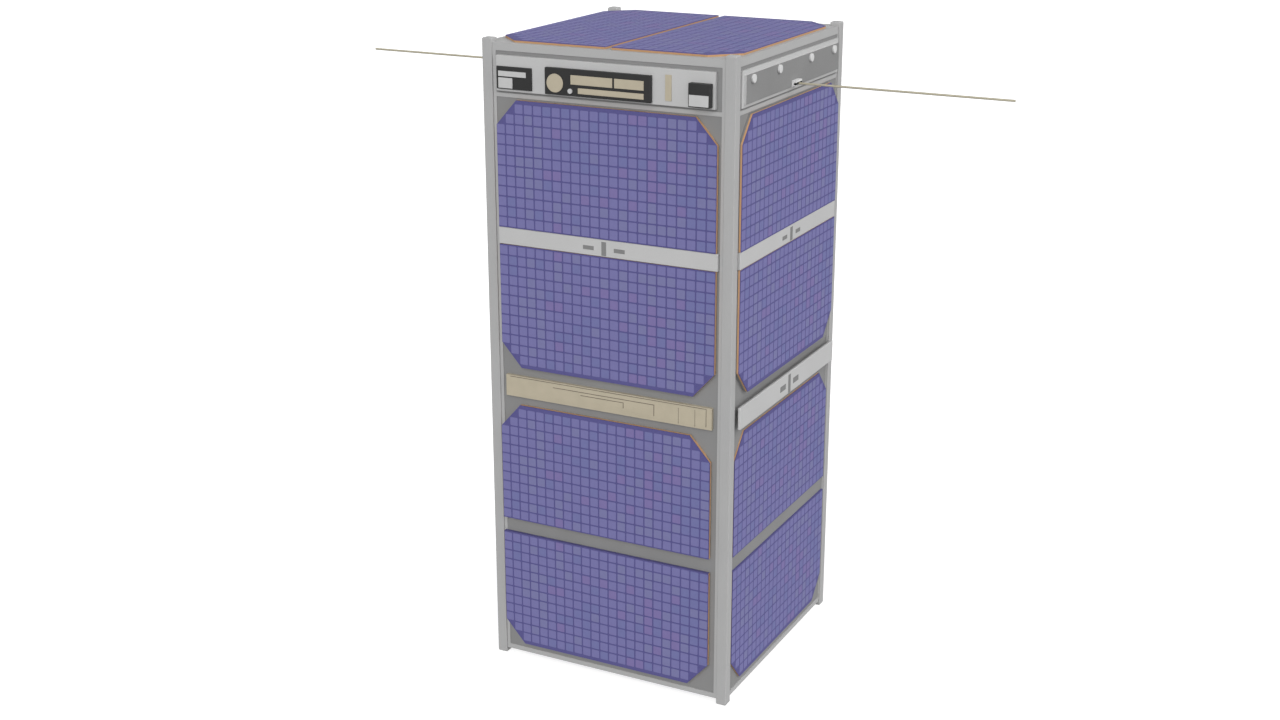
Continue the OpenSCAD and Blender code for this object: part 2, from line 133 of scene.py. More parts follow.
class SatelliteSizes(bpy.types.PropertyGroup):
    """Sizes and places that the frame doesn't give"""

    edge: length("Edge rounding", "Rounding along the edges of machined parts", 0.18)
    fine_edge: length("Fine rounding", "Rounding along the edges of thin covers", 0.08)
    tile_pitch: length("Tile pitch", "Height from one row of solar tiles to the next", 3.83)
    tile_gap: length("Tile gap", "Gap between two solar tiles", 0.56)
    tile_corner: length("Tile corner", "Rounding of a tile's corners", 0.35)
    tile_height: length("Tile height", "How far a tile stands above its sheet", 0.05)
    tile_margin: length("Tile margin", "Bare edge of the sheet beside the first row of tiles", 0.45)
    tile_room: length("Tile room", "Least distance of a tile from the edge of its sheet", 0.1)
    tile_slack: length("Tile slack", "How much of a tile's corner may be cut off by the sheet", 0.3)
    low_skin: length("Lower board skin", "Depth of the violet edge of a lower board", 0.5)
    flank_skin: length("Side board skin", "Depth of the violet edge of a lower side board", 0.2)
    copper: length("Copper edge", "Depth of the copper coloured edge of an upper side board", 1.0)
    slot_width: length("Slot width", "Width of the upright slot in a front or back bar", 1.9)
    side_slot_width: length("Side slot width", "Width of the upright slot in a right or left bar", 2.3)
    slot_top: length("Slot top", "Gap between the upright slot and the bar's upper edge", 0.8)
    slot_foot: length("Slot foot", "Gap below the upright slot in an upper bar", 0.35)
    slot_shift: offset("Slot shift", "Sideways place of the slots in a front or back bar", -0.5)
    side_slot_shift: offset("Side slot shift", "Sideways place of the slots in a right or left bar", 1.2)
    low_slot_shift: offset("Lower slot shift", "Sideways place of the slots in a lower bar", 0.4)
    dash_width: length("Dash width", "Width of the short slots in an upper bar", 4.4)
    dash_height: length("Dash height", "Height of the short slots in an upper bar", 1.5)
    low_dash_width: length("Lower dash width", "Width of the short slots in a lower bar", 5.3)
    low_dash_height: length("Lower dash height", "Height of the short slots in a lower bar", 2.2)
    dash_reach: length("Dash reach", "Distance of a short slot from the upright slot", 6.3)
    dash_drop: length("Dash drop", "How far the short slots sit below the bar's middle", 0.4)
    slot_rise: length("Slot rise", "How far a slot's dark plate stands proud of the bar", 0.05)
    panel_step: length("Panel step", "How far each panel of a service strip stands out", 0.13)
    # Painted shade: the dark seams stand for the shade on the raised panels' sides
    seam: length("Seam", "Width of the dark seams round the strip's panels", 0.24)
    bush_depth: length("Bush depth", "How far a hinge's bushes reach in past the pivot", 0.1)
    bush_rise: length("Bush rise", "Height of the bushes' middle above the pivot", 0.1)
    bush_half: length("Bush half height", "Half the height of a hinge's bushes", 0.45)
    sleeve: length("Sleeve", "Length of the black sleeve on a rod, from its pivot", 0.6)


class SatelliteColours(bpy.types.PropertyGroup):
    """The colour of each finish, before its grain and patches"""

    rail: colour("Rails", "Hard anodised corner rails", "AAAAAA")
    frame: colour("Frames", "Bead blasted side frames and end plates", "ACACAC")
    bright: colour("Bars", "Clear anodised bars, plates and trays", "BBBBBB")
    wall: colour("Walls", "Dark painted walls", "848484")
    cover: colour("Tray covers", "Painted covers of the antenna trays", "828282")
    slot: colour("Slots", "Slots in the bars", "7D7D7D")
    # Painted light: the side boards' edge is lighter than the end boards' edge, against the shade in the
    # side faces' recesses
    board: colour("Board edge", "Copper coloured edge of the boards", "C39A73")
    end_board: colour("End board edge", "Copper coloured edge of the boards on the end plates", "B28B66")
    sheet: colour("Cell sheet", "Sheet between the solar tiles", "575487")
    cell_violet: colour("Violet cells", "Most of the solar tiles", "7371A1")
    cell_blue: colour("Blue cells", "Bluer solar tiles", "6E709F")
    cell_purple: colour("Purple cells", "Redder solar tiles", "786E9F")
    cell_grey: colour("Grey cells", "Paler solar tiles", "75759F")
    beige: colour("Beige", "Sensor windows and service strips", "B2A995")
    # Painted shade: this dark colour stands for the shade on the upper and right sides of the strip's
    # raised panels
    seam: colour("Seams", "Dark seams round the strip's panels", "6C655C")
    box: colour("Boxes", "Black instrument boxes", "2F2F2F")
    light: colour("Light covers", "Covers on the boxes", "BCBCBC")
    button: colour("Buttons", "Buttons on the tray covers", "CCCCCC")
    white: colour("Hinges", "Antenna hinges", "D8D8D8")
    bush: colour("Bushes", "Bushes in the hinges and sleeves on the rods", "1C1C1C")
    rod: colour("Antennas", "Antenna rods", "B1AB96")
    avionics: colour("Avionics", "Closed avionics stack", "5A6A5A")
    floor: colour("Floor", "Studio floor", "BBBBBB")


class SatelliteStage(bpy.types.PropertyGroup):
    """The camera, the lights and the floor"""

    azimuth: angle("Azimuth", "Camera's turn round the satellite", 27.1)
    elevation: angle("Elevation", "Camera's height angle", 18.31)
    distance: FloatProperty(
        name="Distance", description="Camera's distance from its aim", default=0.6773, unit="LENGTH"
    )
    aim: FloatVectorProperty(
        name="Aim",
        description="Point that the camera looks at",
        default=(-0.0001, -0.0229, 0.1222),
        subtype="TRANSLATION",
    )
    lens: FloatProperty(name="Lens", description="Focal length in millimetres", default=50, min=10)
    surround: strength("Surround", "Light of the studio's white surround", 0.35)
    key: strength("Key light", "Strength of the soft light on the front", 2.35)
    side: strength("Side light", "Strength of the soft light on the right side", 2.16)
    back: strength("Back light", "Strength of the soft light on the back and the left", 2.3)
    softness: angle("Softness", "Width of the soft lights as seen from the satellite", 60)
    floor_glow: strength("Floor glow", "Light that the lit floor gives of itself", 0.75)
    floor_size: FloatProperty(
        name="Floor size", description="Width of the floor", default=40, min=1, unit="LENGTH"
    )
    seed: IntProperty(name="Seed", description="Start of the random tile tones", default=7, min=0)


# Finishes


class Finish:
    """A Principled material that is built up from nodes in object space."""

    def __init__(self, name, base, **sockets):
        self.material = bpy.data.materials.new(name)
        self.material.use_nodes = True
        self.nodes = self.material.node_tree.nodes
        self.links = self.material.node_tree.links
        self.shader = self.nodes["Principled BSDF"]
        self.base = tuple(base)
        self.material.diffuse_color = (*self.base, 1)
        self.shader.inputs["Base Color"].default_value = (*self.base, 1)
        for socket, value in sockets.items():
            self.shader.inputs[socket.replace("_", " ")].default_value = value
        self.place = self.nodes.new("ShaderNodeTexCoord").outputs["Object"]

    def math(self, operation, *values):
        """One step of arithmetic on values, each a plain number or another node's output."""
        node = self.nodes.new("ShaderNodeMath")
        node.operation = operation
        for socket, value in zip(node.inputs, values):
            if isinstance(value, bpy.types.NodeSocket):
                self.links.new(value, socket)
            else:
                socket.default_value = value
        return node.outputs[0]

    def noise(self, grain, stretch=(1, 1, 1), detail=3.0):
        """Noise whose features are about grain wide, in metres, longer where stretch is over 1."""
        mapping = self.nodes.new("ShaderNodeMapping")
        mapping.inputs["Scale"].default_value = [1 / (grain * s) for s in stretch]
        texture = self.nodes.new("ShaderNodeTexNoise")
        texture.inputs["Scale"].default_value = 1
        texture.inputs["Detail"].default_value = detail
        self.links.new(self.place, mapping.inputs["Vector"])
        self.links.new(mapping.outputs["Vector"], texture.inputs["Vector"])
        return texture.outputs["Fac"]

    def spread(self, value, low, high, from_low=0.3, from_high=0.7):
        """A value mapped to low and high, by default from the range that holds most noise."""
        node = self.nodes.new("ShaderNodeMapRange")
        self.links.new(value, node.inputs["Value"])
        node.inputs["From Min"].default_value = from_low
        node.inputs["From Max"].default_value = from_high
        node.inputs["To Min"].default_value = low
        node.inputs["To Max"].default_value = high
        return node.outputs["Result"]

    def mix(self, factor, first, second):
        """Mix of two colours, each a plain colour or another node's output."""
        node = self.nodes.new("ShaderNodeMix")
        node.data_type = "RGBA"
        self.links.new(factor, node.inputs["Factor"])
        for socket, value in ((node.inputs[6], first), (node.inputs[7], second)):
            if isinstance(value, bpy.types.NodeSocket):
                self.links.new(value, socket)
            else:
                socket.default_value = (*value, 1)
        return node.outputs[2]

    def ramp(self, value, stops):
        """Colour steps: stops are pairs of a start and a colour."""
        node = self.nodes.new("ShaderNodeValToRGB")
        node.color_ramp.interpolation = "CONSTANT"
        node.color_ramp.elements.remove(node.color_ramp.elements[1])
        for start, _ in stops[1:]:
            node.color_ramp.elements.new(start)
        for element, (start, tone) in zip(node.color_ramp.elements, stops):
            element.position = start
            element.color = (*tone, 1)
        self.links.new(value, node.inputs["Fac"])
        return node.outputs["Color"]

    def attribute(self, name):
        """A number that the mesh keeps under the given name."""
        node = self.nodes.new("ShaderNodeAttribute")
        node.attribute_name = name
        return node.outputs["Fac"]

    def axis(self, letter):
        """The surface's own place along one axis, in metres."""
        node = self.nodes.new("ShaderNodeSeparateXYZ")
        self.links.new(self.place, node.inputs[0])
        return node.outputs[letter]

    def normal(self, letter):
        """One direction of the surface's own normal."""
        node = self.nodes.new("ShaderNodeSeparateXYZ")
        self.links.new(self.nodes.new("ShaderNodeNewGeometry").outputs["True Normal"], node.inputs[0])
        return node.outputs[letter]

    def wave(self, pitch):
        """Fine level lines round the body, 0 to 1, a pitch apart."""
        node = self.nodes.new("ShaderNodeTexWave")
        node.bands_direction = "Z"
        # At a scale of 1 the texture's lines are tau / 20 metres apart
        node.inputs["Scale"].default_value = math.tau / 20 / pitch
        self.links.new(self.place, node.inputs["Vector"])
        return node.outputs["Fac"]

    def tint(self, tone, share):
        """A colour from another node, made darker or lighter by a share."""
        node = self.nodes.new("ShaderNodeVectorMath")
        node.operation = "SCALE"
        node.inputs["Scale"].default_value = share
        self.links.new(tone, node.inputs[0])
        return node.outputs[0]

    def paint(self, socket, value):
        """Drives one of the shader's sockets from another node's output."""
        self.links.new(value, self.shader.inputs[socket])

    def tinted(self, factor, amount):
        """Base colour that drifts by the given share, darker and lighter."""
        dark, light = ([c * (1 + s * amount) for c in self.base] for s in (-1, 1))
        tone = self.mix(factor, dark, light)
        self.paint("Base Color", tone)
        return tone

    def bump(self, height, distance, strength):
        """Fine relief: distance is its full height in metres."""
        node = self.nodes.new("ShaderNodeBump")
        node.inputs["Strength"].default_value = strength
        node.inputs["Distance"].default_value = distance
        self.links.new(height, node.inputs["Height"])
        self.paint("Normal", node.outputs["Normal"])


def anodised(name, base, lengthwise=1.0):
    """Bead blasted and anodised aluminium: a fine grain, and faint patches in the sheen."""
    finish = Finish(name, base, Metallic=0.08, Specular_IOR_Level=0.2)
    fine = finish.noise(0.35 * MM, (1, 1, lengthwise), detail=4)
    patches = finish.noise(9 * MM, (1, 1, 2), detail=2)
    both = finish.math("ADD", finish.math("MULTIPLY", fine, 0.6), finish.math("MULTIPLY", patches, 0.4))
    finish.tinted(finish.spread(both, 0, 1), 0.03)
    finish.paint("Roughness", finish.spread(patches, 0.45, 0.58))
    finish.bump(fine, 0.012 * MM, 0.6)
    return finish.material


def powder_paint(name, base, bare=None):
    """Dark matt powder paint with a fine texture. Edges that turn away from X are bare, if asked."""
    finish = Finish(name, base, Specular_IOR_Level=0.25)
    peel = finish.noise(0.6 * MM, detail=2)
    patches = finish.noise(14 * MM, detail=2)
    tone = finish.tinted(finish.spread(patches, 0, 1), 0.03)
    if bare:
        cut = finish.math("LESS_THAN", finish.math("ABSOLUTE", finish.normal("X")), FACING)
        finish.paint("Base Color", finish.mix(cut, tone, bare))
    finish.paint("Roughness", finish.spread(peel, 0.55, 0.7))
    finish.bump(peel, 0.02 * MM, 0.5)
    return finish.material


def laminate(name, base, skin, skin_start, spacer, spacer_end, skin_on_top=False):
    """Copper coloured board edge between a spacer up to one depth and a skin from another outwards."""
    finish = Finish(name, base, Specular_IOR_Level=0.2)
    weave = finish.noise(0.5 * MM, (3, 3, 0.25), detail=3)
    layers = finish.noise(0.22 * MM, detail=2)
    grain = finish.spread(finish.math("MULTIPLY", finish.math("ADD", weave, layers), 0.5), 0, 1)
    copper = finish.mix(grain, [c * 0.93 for c in base], [c * 1.07 for c in base])
    out = finish.math("MAXIMUM", *(finish.math("ABSOLUTE", finish.axis(letter)) for letter in "XY"))
    skinned = finish.math("GREATER_THAN", out, skin_start)
    if skin_on_top:
        upward = finish.math("GREATER_THAN", finish.normal("Z"), FACING)
        skinned = finish.math("MAXIMUM", skinned, upward)
    spaced = finish.math("LESS_THAN", out, spacer_end)
    edge = finish.mix(spaced, copper, spacer)
    finish.paint("Base Color", finish.mix(skinned, edge, skin))
    finish.paint("Roughness", finish.spread(weave, 0.45, 0.6))
    finish.bump(layers, 0.01 * MM, 0.5)
    return finish.material


def cell_sheet(name, base):
    """Dark violet sheet that the tiles are bonded to, with fine glue texture."""
    finish = Finish(name, base, Specular_IOR_Level=0.15)
    glue = finish.noise(0.5 * MM, detail=3)
    finish.tinted(finish.spread(glue, 0, 1), 0.05)
    finish.paint("Roughness", finish.spread(glue, 0.45, 0.6))
    finish.bump(glue, 0.015 * MM, 0.5)
    return finish.material


def solar_cell(name, colours):
    """Matt cover glass on violet cells. Each tile has its own tone, a crystal grain and fine fingers."""
    finish = Finish(name, colours.cell_violet, Specular_IOR_Level=0.1)
    stops = (
        (0.0, colours.cell_violet),
        (0.52, colours.cell_blue),
        (0.7, colours.cell_purple),
        (0.84, colours.cell_grey),
    )
    tone = finish.ramp(finish.attribute("tone"), stops)
    grain = finish.spread(finish.noise(0.9 * MM, detail=4), 0, 1)
    fingers = finish.wave(0.28 * MM)
    crystals, lines = finish.math("MULTIPLY", grain, 0.7), finish.math("MULTIPLY", fingers, 0.3)
    speckle = finish.math("ADD", crystals, lines)
    dark, light = (finish.tint(tone, share) for share in (0.965, 1.035))
    finish.paint("Base Color", finish.mix(speckle, dark, light))
    finish.paint("Roughness", finish.spread(grain, 0.45, 0.55, 0, 1))
    finish.bump(grain, 0.004 * MM, 0.4)
    return finish.material


def moulded(name, base, rough=0.5):
    """Moulded plastic with a fine spark-eroded texture."""
    finish = Finish(name, base, Specular_IOR_Level=0.25)
    texture = finish.noise(0.25 * MM, detail=3)
    patches = finish.noise(4 * MM, detail=2)
    finish.tinted(finish.spread(patches, 0, 1), 0.03)
    finish.paint("Roughness", finish.spread(texture, rough - 0.06, rough + 0.06))
    finish.bump(texture, 0.01 * MM, 0.5)
    return finish.material


def hinge_plastic(name, base, bush_colour, pivot, sizes):
    """White moulded hinge, with a black bush in the outer half of each ear."""
    finish = Finish(name, base, Specular_IOR_Level=0.25)
    texture = finish.noise(0.25 * MM, detail=3)
    tone = finish.tinted(finish.spread(texture, 0, 1), 0.02)
    out = finish.math("ABSOLUTE", finish.axis("X"))
    outer = finish.math("GREATER_THAN", out, abs(pivot.x) - sizes.bush_depth)
    rise = finish.math("SUBTRACT", finish.axis("Z"), pivot.z + sizes.bush_rise)
    level = finish.math("LESS_THAN", finish.math("ABSOLUTE", rise), sizes.bush_half)
    bush = finish.math("MULTIPLY", outer, level)
    finish.paint("Base Color", finish.mix(bush, tone, bush_colour))
    finish.paint("Roughness", finish.spread(texture, 0.44, 0.56))
    finish.bump(texture, 0.01 * MM, 0.5)
    return finish.material


def antenna_metal(name, base, sleeve_colour, pivot, sizes):
    """Dull copper alloy, with the black sleeve of the hinge barrel near the pivot."""
    finish = Finish(name, base, Metallic=0.2, Specular_IOR_Level=0.3)
    drawn = finish.noise(0.3 * MM, (12, 1, 1), detail=3)
    metal = finish.mix(finish.spread(drawn, 0, 1), [c * 0.93 for c in base], [c * 1.05 for c in base])
    from_pivot = finish.math("SUBTRACT", finish.math("ABSOLUTE", finish.axis("X")), abs(pivot.x))
    sleeve = finish.math("LESS_THAN", from_pivot, sizes.sleeve)
    finish.paint("Base Color", finish.mix(sleeve, metal, sleeve_colour))
    finish.paint("Roughness", finish.spread(drawn, 0.38, 0.5))
    finish.bump(drawn, 0.008 * MM, 0.4)
    return finish.material


# Shapes


def place(face, u, w, out):
    """World point of a face's own position: along it, up it and out of it."""
    return FACES[face] @ Vector((u, w, out))


def face_points(node, face):
    """A CAD node's corners in a face's own directions."""
    inverse = FACES[face].transposed()
    return [inverse @ v.co for v in frame["nodes"][node].data.vertices]


def extent(points):
    """Lowest and highest corner of the box round some points."""
    return [Vector(pick(p[i] for p in points) for i in range(3)) for pick in (min, max)]


def span(node, face):
    """Lowest and highest corner of a CAD node in a face's own directions."""
    return extent(face_points(node, face))


def outer_span(node, face):
    """Span of the part of a CAD node that stands on the wall of a face."""
    wall = span(f"side_wall_{face}", face)[1].z - NEAR
    return extent([p for p in face_points(node, face) if p.z > wall])


def add_prism(bm, face, outline, low, high, side_slot=0, top_slot=0):
    """A flat plate with the given outline, from one depth to another. Gives its corners."""
    floor = [bm.verts.new(place(face, u, w, low)) for u, w in outline]
    roof = [bm.verts.new(place(face, u, w, high)) for u, w in outline]
    around = list(zip(floor, floor[1:] + floor[:1], roof[1:] + roof[:1], roof))
    for side in [bm.faces.new(corners) for corners in around] + [bm.faces.new(floor[::-1])]:
        side.material_index = side_slot
    top = bm.faces.new(roof)
    top.material_index = top_slot
    return floor + roof


def rectangle(u0, u1, w0, w1):
    """Outline of a rectangle, from its lower left corner round."""
    return [(u0, w0), (u1, w0), (u1, w1), (u0, w1)]


def rounded(u0, u1, w0, w1, radius, steps=2):
    """Outline of a rectangle with rounded corners."""
    outline = []
    for turn, (u, w) in enumerate(rectangle(u0 + radius, u1 - radius, w0 + radius, w1 - radius)):
        for step in range(steps + 1):
            way = math.pi * (1 + turn / 2 + step / steps / 2)
            outline.append((u + radius * math.cos(way), w + radius * math.sin(way)))
    return outline


def piece(name, bm, materials, replaces=(), body=BUS, edge=0):
    """Turns a bmesh into a piece of the satellite that rides on a body."""
    if edge:
        sharp = [e for e in bm.edges if len(e.link_faces) == 2 and e.calc_face_angle() > ROUND_FROM]
        bmesh.ops.bevel(
            bm, geom=sharp, offset=edge, segments=2, profile=0.6, affect="EDGES", clamp_overlap=True
        )
    bmesh.ops.recalc_face_normals(bm, faces=bm.faces)
    mesh = bpy.data.meshes.new(name)
    bm.to_mesh(mesh)
    bm.free()
    for material in materials:
        mesh.materials.append(material)
    if edge:
        mesh.shade_smooth()
        mesh.set_sharp_from_angle(angle=SMOOTH_TO)
    made = bpy.data.objects.new(name, mesh)
    bpy.context.scene.collection.objects.link(made)
    if edge:
        made.modifiers.new("flat_faces", "WEIGHTED_NORMAL").keep_sharp = True
    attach(made, body)
    if replaces:
        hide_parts(*replaces)
    return made


def softened(node, material, edge):
    """The CAD node's own shape with its edges rounded, as a piece that takes its place."""
    bm = bmesh.new()
    bm.from_mesh(frame["nodes"][node].data)
    bmesh.ops.remove_doubles(bm, verts=bm.verts, dist=WELD)
    bmesh.ops.dissolve_limit(bm, angle_limit=FLAT_TO, verts=bm.verts, edges=bm.edges)
    for face in bm.faces:
        face.material_index = 0
    return piece(f"{node}_rounded", bm, [material], (node,), edge=edge)


def dress(node, material):
    """Gives a CAD node a finish and leaves its shape alone."""
    for slot in frame["nodes"][node].material_slots:
        slot.material = material


# Solar boards


def board_outline(face, board):
    """Outline of a board, as points in order, with its depth range, from its layer of cells."""
    low, high = span(board, face)
    points = [
        p
        for p in face_points(f"solar_cells_{face}", face)
        if low.x - NEAR <= p.x <= high.x + NEAR and low.y - NEAR <= p.y <= high.y + NEAR
    ]
    # Rounded to a thousandth of a millimetre, so that doubled corners become one
    flat = sorted({(round(p.x, 6), round(p.y, 6)) for p in points})
    outline = [flat[i] for i in convex_hull_2d(flat)]
    if sum(a[0] * b[1] - b[0] * a[1] for a, b in zip(outline, outline[1:] + outline[:1])) < 0:
        outline.reverse()
    return outline, min(p.z for p in points), max(p.z for p in points)


def held_in(outline, tile, slack):
    """The tile with its points pulled into a convex outline, or None if one is out by over slack."""
    for (u0, w0), (u1, w1) in zip(outline, outline[1:] + outline[:1]):
        reach = math.hypot(u1 - u0, w1 - w0)
        run, rise = (u1 - u0) / reach, (w1 - w0) / reach
        pulled = []
        for u, w in tile:
            depth = run * (w - w0) - rise * (u - u0)
            if depth < -slack:
                return None
            pull = max(0, -depth)
            pulled.append((u - rise * pull, w + run * pull))
        tile = pulled
    return tile


def tile_outlines(outline, sizes, columns, from_top):
    """Row, column and outline of each tile that fits, counted from the board's plain edge."""
    (left, right), (low, high) = ((min(values), max(values)) for values in zip(*outline))
    across = (right - left - 2 * sizes.tile_room + sizes.tile_gap) / columns
    rows = int((high - low - sizes.tile_margin - sizes.tile_room + sizes.tile_gap) / sizes.tile_pitch)
    for row in range(rows):
        near = sizes.tile_margin + row * sizes.tile_pitch
        far = near + sizes.tile_pitch - sizes.tile_gap
        w0, w1 = (high - far, high - near) if from_top else (low + near, low + far)
        for column in range(columns):
            u0 = left + sizes.tile_room + column * across
            u1 = u0 + across - sizes.tile_gap
            tile = held_in(outline, rounded(u0, u1, w0, w1, sizes.tile_corner), sizes.tile_slack)
            if tile:
                yield row, column, tile


def tile_tones(rows, columns, dice):
    """A random tone for each tile, often the same as the tone of the tile below or beside it."""
    tones = {}
    for row in range(rows):
        for column in range(columns):
            copy, draw = dice.random(), dice.random()
            below, beside = (row - 1, column), (row, column - 1)
            like = below if copy < COPIES else beside if copy < 2 * COPIES else None
            tones[row, column] = tones.get(like, draw)
    return tones


def add_cells(bm, face, board, sizes, tones, from_top):
    """One board's sheet with its rows of tiles. The sheet's sides are copper on the bottom boards."""
    tone_layer = bm.verts.layers.float["tone"]
    outline, low, high = board_outline(face, board)
    sheet_top = high - sizes.tile_height
    add_prism(bm, face, outline, low, sheet_top, 2 if face == "bottom" else 0)
    wide = max(u for u, w in outline) - min(u for u, w in outline)
    columns = round(wide / sizes.tile_pitch - COLUMN_SLACK)
    for row, column, tile in tile_outlines(outline, sizes, columns, from_top):
        for vert in add_prism(bm, face, tile, sheet_top - sizes.tile_height, high, 0, 1):
            vert[tone_layer] = tones[row, column]


class SATELLITE_OT_boards(bpy.types.Operator):
    """Finish the boards and lay their solar cells"""

    bl_idname = "satellite.boards"
    bl_label = "Solar boards"

    def execute(self, context):
        sizes, colours = context.scene.satellite_sizes, context.scene.satellite_colours
        sheet = cell_sheet("cell_sheet", colours.sheet)
        cell = solar_cell("solar_cell", colours)
        copper = laminate(
            "sheet_edge", colours.end_board, colours.sheet, NO_SKIN, colours.wall, NO_SPACER
        )
        dice = random.Random(context.scene.satellite_stage.seed)
        tones = tile_tones(MOST_TILES, MOST_TILES, dice)
        for face, boards in BOARDS.items():
            bm = bmesh.new()
            bm.verts.layers.float.new("tone")
            for number, board in enumerate(boards):
                add_cells(bm, face, board, sizes, tones, from_top=face in SIDES and number % 2 == 0)
                dress(board, self.edge(context, face, board, number))
            piece(f"cells_{face}", bm, [sheet, cell, copper], (f"solar_cells_{face}",))
        return {"FINISHED"}

    def edge(self, context, face, board, number):
        """Finish of a board's sides: the lower boards have a skin, the upper side boards a spacer."""
        sizes, colours = context.scene.satellite_sizes, context.scene.satellite_colours
        roof = board_outline(face, board)[2]
        skin_start, spacer_end = NO_SKIN, NO_SPACER
        on_flank = face in ("right", "left")
        if face in SIDES and number < 2:
            skin_start = roof - (sizes.flank_skin if on_flank else sizes.low_skin)
        elif on_flank:
            spacer_end = roof - sizes.copper
        # The side boards take the lighter copper, painted light against the shade in their recesses
        copper = colours.board if face in SIDES else colours.end_board
        lowest = face in SIDES and number == 0
        return laminate(
            f"{board}_edge", copper, colours.sheet, skin_start, colours.wall, spacer_end, lowest
        )


# Structure


class SATELLITE_OT_structure(bpy.types.Operator):
    """Finish the rails, frames, walls, end plates and the closed avionics"""

    bl_idname = "satellite.structure"
    bl_label = "Structure"

    def execute(self, context):
        sizes, colours = context.scene.satellite_sizes, context.scene.satellite_colours
        rail = anodised("rail_anodised", colours.rail, lengthwise=6)
        sheet = anodised("frame_anodised", colours.frame)
        wall = powder_paint("wall_paint", colours.wall)
        for corner in ("front_left", "front_right", "back_right", "back_left"):
            softened(f"rail_{corner}", rail, sizes.edge)
        for side in SIDES:
            dress(f"side_frame_{side}", sheet)
            dress(f"side_wall_{side}", wall)
        for end in ENDS:
            dress(f"{end}_plate", sheet)
        dress("avionics_stack", moulded("avionics_green", colours.avionics))
        return {"FINISHED"}


# Bars and service strips


def add_slots(bm, face, node, sizes):
    """Lays a bar's upright slot and two short slots on its face, as shallow dark plates."""
    low, high = outer_span(node, face)
    lower = node == "lower_bars"
    on_end = face in ("front", "back")
    shift = sizes.slot_shift if on_end else sizes.low_slot_shift if lower else sizes.side_slot_shift
    middle = (low.x + high.x) / 2 + shift
    height = (low.y + high.y) / 2 - sizes.dash_drop
    wide = sizes.low_dash_width if lower else sizes.dash_width
    tall = sizes.low_dash_height if lower else sizes.dash_height
    half = (sizes.slot_width if on_end else sizes.side_slot_width) / 2
    foot = sizes.edge if lower else sizes.slot_foot
    slots = [rectangle(middle - half, middle + half, low.y + foot, high.y - sizes.slot_top)]
    for way in (-1, 1):
        u = middle + way * sizes.dash_reach
        slots.append(rectangle(u - wide / 2, u + wide / 2, height - tall / 2, height + tall / 2))
    for slot in slots:
        add_prism(bm, face, slot, high.z - sizes.slot_rise, high.z + sizes.slot_rise)


class SATELLITE_OT_bars(bpy.types.Operator):
    """Round and finish the bars, and lay their slots"""

    bl_idname = "satellite.bars"
    bl_label = "Bars"

    def execute(self, context):
        sizes, colours = context.scene.satellite_sizes, context.scene.satellite_colours
        bright = anodised("bar_anodised", colours.bright)
        dark = powder_paint("slot_paint", colours.slot)
        bm = bmesh.new()
        for face in SIDES:
            add_slots(bm, face, "upper_bars", sizes)
        for face in ("right", "left"):
            add_slots(bm, face, "lower_bars", sizes)
        piece("bar_slots", bm, [dark])
        for node in ("upper_bars", "lower_bars"):
            softened(node, bright, sizes.edge)
        return {"FINISHED"}


class SATELLITE_OT_strips(bpy.types.Operator):
    """Build the stepped panels of the service strips, with dark seams of painted shade along their upper
    and right edges
    """

    bl_idname = "satellite.strips"
    bl_label = "Service strips"

    # Panels from the base up, as shares of the strip: left, right, lower and upper edge
    panels = (
        (0.021, 0.973, 0.120, 0.925),
        (0.239, 0.729, 0.217, 0.720),
        (0.375, 0.583, 0.337, 0.580),
    )
    # Upright dark lines of painted shade beside the panels: place, lower and upper end, as shares of the
    # strip
    upright_shade_lines = ((0.846, 0.08, 0.80), (0.923, 0.06, 0.84))

    def execute(self, context):
        sizes, colours = context.scene.satellite_sizes, context.scene.satellite_colours
        beige = moulded("strip_beige", colours.beige)
        # The dark plastic of the seams is painted shade
        dark = moulded("strip_seam", colours.seam)
        bm = bmesh.new()
        seam, step = sizes.seam, sizes.panel_step
        for face in ("front", "back"):
            low, high = outer_span("service_strips", face)
            wide, tall = high.x - low.x, high.y - low.y
            base = high.z - len(self.panels) * step
            add_prism(bm, face, rectangle(low.x, high.x, low.y, high.y), low.z, base)
            for level, (left, right, foot, head) in enumerate(self.panels):
                u0, u1 = low.x + left * wide, low.x + right * wide
                w0, w1 = low.y + foot * tall, low.y + head * tall
                under = base + level * step
                # The dark seam is painted shade along the panel's sides: it shows past the panel's right
                # and upper edge, and stands less proud than it
                around = rectangle(u0, u1 + seam, w0, w1 + seam)
                add_prism(bm, face, around, under - step / 2, under + step / 4, 1, 1)
                add_prism(bm, face, rectangle(u0, u1, w0, w1), under, under + step)
            for across, foot, head in self.upright_shade_lines:
                u, w0, w1 = low.x + across * wide, low.y + foot * tall, low.y + head * tall
                line = rectangle(u - seam / 3, u + seam / 3, w0, w1)
                # The upright line of painted shade stands a fifth of a step proud of the lowest panel
                add_prism(bm, face, line, base + step / 2, base + step * 1.2, 1, 1)
        piece("service_strip_panels", bm, [beige, dark], ("service_strips",))
        return {"FINISHED"}


# Instruments and antennas


class SATELLITE_OT_instruments(bpy.types.Operator):
    """Round and finish the instrument bay's plates, boxes, windows and covers"""

    bl_idname = "satellite.instruments"
    bl_label = "Instrument bay"

    def execute(self, context):
        sizes, colours = context.scene.satellite_sizes, context.scene.satellite_colours
        bright = anodised("plate_anodised", colours.bright)
        black = moulded("box_black", colours.box, rough=0.45)
        beige = moulded("window_beige", colours.beige)
        light = moulded("cover_light", colours.light)
        for side in ("front", "back"):
            softened(f"bay_plate_{side}", bright, sizes.edge)
        for spot in ("left", "middle", "right"):
            softened(f"instrument_box_{spot}", black, sizes.edge)
        softened("instrument_windows", beige, sizes.fine_edge)
        softened("instrument_covers", light, sizes.fine_edge)
        return {"FINISHED"}


